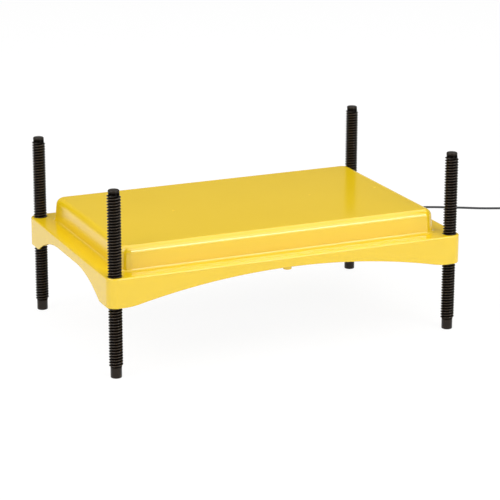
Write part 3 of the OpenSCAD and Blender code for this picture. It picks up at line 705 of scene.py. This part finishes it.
def smoothRoute(points, count):
    pts = [Vector(p) for p in points]
    route = []
    for i in range(len(pts) - 1):
        a, b, c, d = (pts[min(max(i + k, 0), len(pts) - 1)] for k in (-1, 0, 1, 2))
        u, v = (c - a) / 2, (d - b) / 2
        square, cube = 3 * (c - b) - 2 * u - v, 2 * (b - c) + u + v
        for k in range(count):
            t = k / count
            route.append(b + t * u + t**2 * square + t**3 * cube)
    return route + [pts[-1]]


def coilRoute(s):
    h = math.radians(s["heading"])
    ahead, right = Vector((math.cos(h), math.sin(h))), Vector((math.sin(h), -math.cos(h)))
    begin = Vector(s["start"]) + s["d"] * ahead
    centre = begin + s["coilR"] * right
    step, route = s["d"] + s["gap"], []
    for i in range(round(s["turns"] * s["rings"]) + 1):
        t = i / s["rings"]
        r = s["coilR"] - step * min(t, s["turns"] - t)
        a = h + math.pi / 2 - math.tau * t
        rise = min(1, max(0, (t - s["turns"] / 2 + s["climb"]) / (2 * s["climb"])))
        z = s["floor"] + s["d"] / 2 + step * rise
        route.append(Vector((centre.x + r * math.cos(a), centre.y + r * math.sin(a), z)))
    away = a - math.pi / 2
    out = Vector((math.cos(away), math.sin(away), 0))
    last = route[-1]
    for k in range(1, s["tailSteps"] + 1):  # a short straight end, up to the plug
        share = k / s["tailSteps"]
        p = last + out * s["tail"] * share
        route.append(Vector((p.x, p.y, last.z + (s["plugZ"] - last.z) * share)))
    return route, centre, out, away


def makeLead(s, path):
    curve = bpy.data.curves.new("supply_lead", "CURVE")
    curve.dimensions = "3D"
    curve.bevel_depth = s["d"] / 2 * mm
    curve.bevel_resolution = s["roundness"]
    curve.use_fill_caps = True
    spline = curve.splines.new("POLY")
    spline.points.add(len(path) - 1)
    for point, place in zip(spline.points, path):
        point.co = (*(place * mm), 1)
    curve.materials.append(looks["cord"])
    piece = bpy.data.objects.new("supply_lead", curve)
    scene.collection.objects.link(piece)
    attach(piece, "shell")
    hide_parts("supply_cord", "cord_coil")
    return piece


coilPath, coilCentre, plugRun, plugAngle = coilRoute(lead)
leadPath = smoothRoute(lead["points"], lead["between"]) + coilPath
leadPiece = makeLead(lead, leadPath)
leadLength = sum((b - a).length for a, b in zip(leadPath, leadPath[1:]))
print("lead made", round(leadLength), "mm")

# plug and strain relief, both turned round the lead
plug = {
    "len": 28.0, "r": 4.8, "neckR": 2.6, "neckLen": 10.0, "neckEdge": 0.4, "neckFlare": 0.8,
    "shoulder": ((0.9, 0), (0.3, 0.4), (0, 1.4)),  # depth below the body, place past the neck
    "ribs": 5, "ribFrom": 4.0, "ribPitch": 1.6, "ribDeep": 0.35,
    "ribForm": ((0, 0), (1, 0.25), (1, 0.75), (0, 1)),  # share of the depth, place
    "nose": ((0, 1), (0.3, 0.3), (1, 0)),  # depth below the body, place before the end
    "sleeveLen": 9.5, "sleeveR": 2.75, "sleeveEdge": 0.3, "sleeveBore": 1.25, "boreEdge": 0.2,
    "boreFloor": 2.0, "sides": 40,
}
relief = {
    "lipR": 3.2, "lipT": 1.5, "lipEdge": 0.3, "neckR": 2.8, "wall": 2.5,
    "collarR": 4.4, "collarT": 2.0, "collarEdge": 0.5, "len": 24.0, "rootR": 3.8, "tipR": 2.6,
    "rings": 5, "share": 0.6, "ringEdge": (0.15, 0.3), "groove": 0.5, "grooveEdge": 0.15,
    "tipEdge": 0.3, "place": (200.0, 159.5, 127.2), "sides": 40,
}


def plugMeshes(s):
    base = coilPath[-1] + plugRun * lead["endGap"]
    aim = Matrix.Rotation(plugAngle, 4, "Z") @ Matrix.Rotation(math.pi / 2, 4, "Y")
    place = Matrix.Translation(base * mm) @ aim
    r, neckR, neck, end = s["r"], s["neckR"], s["neckLen"], s["len"]
    line = [(0, 0), (neckR - s["neckEdge"], 0), (neckR, s["neckEdge"])]
    line += [(neckR + s["neckFlare"], neck)]
    line += [(r - below, neck + past) for below, past in s["shoulder"]]
    for i in range(s["ribs"]):
        z = neck + s["ribFrom"] + i * s["ribPitch"]
        line += [(r - s["ribDeep"] * share, z + past) for share, past in s["ribForm"]]
    line += [(r - below, end - before) for below, before in s["nose"]] + [(0, end)]
    holder = bmesh.new()
    revolved(holder, line, s["sides"], place)
    tip, floor = end + s["sleeveLen"], end + s["boreFloor"]
    outR, outEdge, boreR, boreEdge = s["sleeveR"], s["sleeveEdge"], s["sleeveBore"], s["boreEdge"]
    tube = [(0, end), (outR, end), (outR, tip - outEdge), (outR - outEdge, tip)]
    tube += [(boreR + boreEdge, tip), (boreR, tip - boreEdge), (boreR, floor), (0, floor)]
    barrel = bmesh.new()
    revolved(barrel, tube, s["sides"], place)
    return holder, barrel


def reliefMesh(s):
    bm = bmesh.new()
    end, collarR, collarT = s["len"], s["collarR"], s["collarT"]
    back, edge = -s["wall"] - s["lipT"], s["lipEdge"]

    def taper(d):
        return s["rootR"] + (s["tipR"] - s["rootR"]) * (d - collarT) / (end - collarT)

    line = [(0, back), (s["lipR"] - edge, back), (s["lipR"], back + edge), (s["lipR"], -s["wall"])]
    line += [(s["neckR"], -s["wall"]), (s["neckR"], 0), (collarR, 0)]
    line += [(collarR, collarT - s["collarEdge"]), (collarR - s["collarEdge"], collarT)]
    pitch = (end - collarT) / s["rings"]
    down, along = s["ringEdge"]
    deep, ease, tipEdge = s["groove"], s["grooveEdge"], s["tipEdge"]
    for i in range(s["rings"]):
        a = collarT + i * pitch
        b, after = a + s["share"] * pitch, a + pitch
        line += [(taper(a) - down, a), (taper(a), a + along)]
        line += [(taper(b), b - along), (taper(b) - down, b)]
        if i < s["rings"] - 1:
            line += [(taper(b) - deep, b + ease), (taper(after) - deep, after - ease)]
    line += [(taper(end), end - tipEdge), (taper(end) - tipEdge, end), (0, end)]
    place = Matrix.Translation(Vector(s["place"]) * mm) @ Matrix.Rotation(-math.pi / 2, 4, "X")
    revolved(bm, line, s["sides"], place)
    return bm


holder, barrel = plugMeshes(plug)
plugBody = addPiece("plug_holder", holder, "shell", "cord", ["plug_body"])
plugTip = addPiece("plug_barrel", barrel, "shell", "nickel", ["plug_sleeve"])
reliefPiece = addPiece("lead_relief", reliefMesh(relief), "shell", "cord", ["strain_relief"])

# flat tie round the coil
tie = {
    "t": 0.8, "w": 6.0, "fit": 0.4, "angle": -135.0, "edge": 0.3, "edgeSteps": 2, "edgeAngle": 60,
    "cornerR": 1.6, "cornerSteps": 4,
}


def tieMesh(s):
    bm = bmesh.new()
    step, d = lead["d"] + lead["gap"], lead["d"]
    low = lead["floor"] - s["fit"]
    high = lead["floor"] + d + step + s["fit"]
    near = lead["coilR"] - step * lead["turns"] / 2 - d / 2 - s["fit"]
    far = lead["coilR"] + d / 2 + s["fit"]
    loop = closedChain(bm, [(near, 0, low), (far, 0, low), (far, 0, high), (near, 0, high)])
    rounded(bm, vertsOf(loop), s["cornerR"], s["cornerSteps"], "VERTICES")
    bmesh.ops.translate(bm, verts=bm.verts, vec=(0, -s["w"] / 2 * mm, 0))
    verts = extended(bm, bm.edges[:])[1]
    bmesh.ops.translate(bm, verts=verts, vec=(0, s["w"] * mm, 0))
    bmesh.ops.recalc_face_normals(bm, faces=bm.faces)
    middle = Vector(((near + far) / 2, 0, (low + high) / 2)) * mm
    face = bm.faces[:][0]
    if face.normal.dot(face.calc_center_median() - middle) > 0:
        bmesh.ops.reverse_faces(bm, faces=bm.faces)
    bmesh.ops.solidify(bm, geom=bm.faces[:], thickness=s["t"] * mm)
    bmesh.ops.recalc_face_normals(bm, faces=bm.faces)
    rounded(bm, sharpEdges(bm, s["edgeAngle"]), s["edge"], s["edgeSteps"])
    swing = Matrix.Rotation(math.radians(lead["heading"] + s["angle"]), 4, "Z")
    place = Matrix.Translation((*(coilCentre * mm), 0)) @ swing
    bmesh.ops.transform(bm, matrix=place, verts=bm.verts)
    return bm


tiePiece = addPiece("lead_tie", tieMesh(tie), "shell", "part_black", ["cord_tie"])
print("plug, relief and tie made")

# floor and light
stage = {
    "floor": 14.0, "floorTone": (0.82, 0.82, 0.82), "glow": 1.05, "glowShare": 0.88,
    "air": (0.85, 0.2), "airFrom": (0.05, 0.16),  # pale at the horizon, dim above
    "aim": (0, 0, 0.13),
    "lamps": (
        # name, place, width, height, power
        ("key_box", (0.9, -1.95, 1.6), 1.2, 2.0, 11),
        ("strip_box", (0.9, -2.05, 1.2), 1.0, 0.25, 9),
        ("front_box", (1.0, -2.3, 0.7), 1.6, 0.8, 5),
        ("top_box", (0, 0, 2.4), 4.6, 4.6, 85),
        ("left_box", (-2.0, -0.6, 1.6), 1.8, 1.4, 22),
    ),
}


def floorMaterial(s):  # takes shadows, and shows pale to the camera and in reflections
    material = bpy.data.materials.new("studio_floor")
    material.use_nodes = True
    tree = material.node_tree
    tree.nodes.remove(tree.nodes["Principled BSDF"])
    diffuse = tree.nodes.new("ShaderNodeBsdfDiffuse")
    diffuse.inputs["Color"].default_value = (*s["floorTone"], 1)
    white = tree.nodes.new("ShaderNodeEmission")
    white.inputs["Strength"].default_value = s["glow"]
    path = tree.nodes.new("ShaderNodeLightPath")
    seen = path.outputs["Is Camera Ray"]
    for ray in ("Is Glossy Ray", "Is Transmission Ray"):
        both = tree.nodes.new("ShaderNodeMath")
        both.operation = "MAXIMUM"
        tree.links.new(seen, both.inputs[0])
        tree.links.new(path.outputs[ray], both.inputs[1])
        seen = both.outputs[0]
    share = tree.nodes.new("ShaderNodeMath")
    share.operation = "MULTIPLY"
    share.inputs[1].default_value = s["glowShare"]
    tree.links.new(seen, share.inputs[0])
    mixed = tree.nodes.new("ShaderNodeMixShader")
    tree.links.new(share.outputs[0], mixed.inputs["Fac"])
    tree.links.new(diffuse.outputs[0], mixed.inputs[1])
    tree.links.new(white.outputs[0], mixed.inputs[2])
    tree.links.new(mixed.outputs[0], tree.nodes["Material Output"].inputs["Surface"])
    return material


def makeFloor(s):
    bm = bmesh.new()
    bmesh.ops.create_grid(bm, x_segments=1, y_segments=1, size=s["floor"] / 2)
    mesh = bpy.data.meshes.new("studio_floor")
    bm.to_mesh(mesh)
    bm.free()
    mesh.materials.append(floorMaterial(s))
    floor = bpy.data.objects.new("studio_floor", mesh)
    scene.collection.objects.link(floor)


def makeAir(s):
    world = bpy.data.worlds.new("studio_air")
    world.use_nodes = True
    tree = world.node_tree
    coords = tree.nodes.new("ShaderNodeTexCoord")
    parts = tree.nodes.new("ShaderNodeSeparateXYZ")
    tree.links.new(coords.outputs["Generated"], parts.inputs["Vector"])
    fall = remap(tree, parts.outputs["Z"], s["airFrom"], s["air"])
    fall.interpolation_type = "SMOOTHSTEP"
    background = tree.nodes["Background"]
    background.inputs["Color"].default_value = (1, 1, 1, 1)
    tree.links.new(fall.outputs["Result"], background.inputs["Strength"])
    scene.world = world


def makeLamps(s):
    for name, place, width, height, power in s["lamps"]:
        data = bpy.data.lights.new(name, "AREA")
        data.shape = "RECTANGLE"
        data.size, data.size_y = width, height
        data.energy = power
        lamp = bpy.data.objects.new(name, data)
        scene.collection.objects.link(lamp)
        lamp.location = place
        facing = Vector(s["aim"]) - Vector(place)
        lamp.rotation_euler = facing.to_track_quat("-Z", "Y").to_euler()


makeFloor(stage)
makeAir(stage)
makeLamps(stage)
print("stage lit")
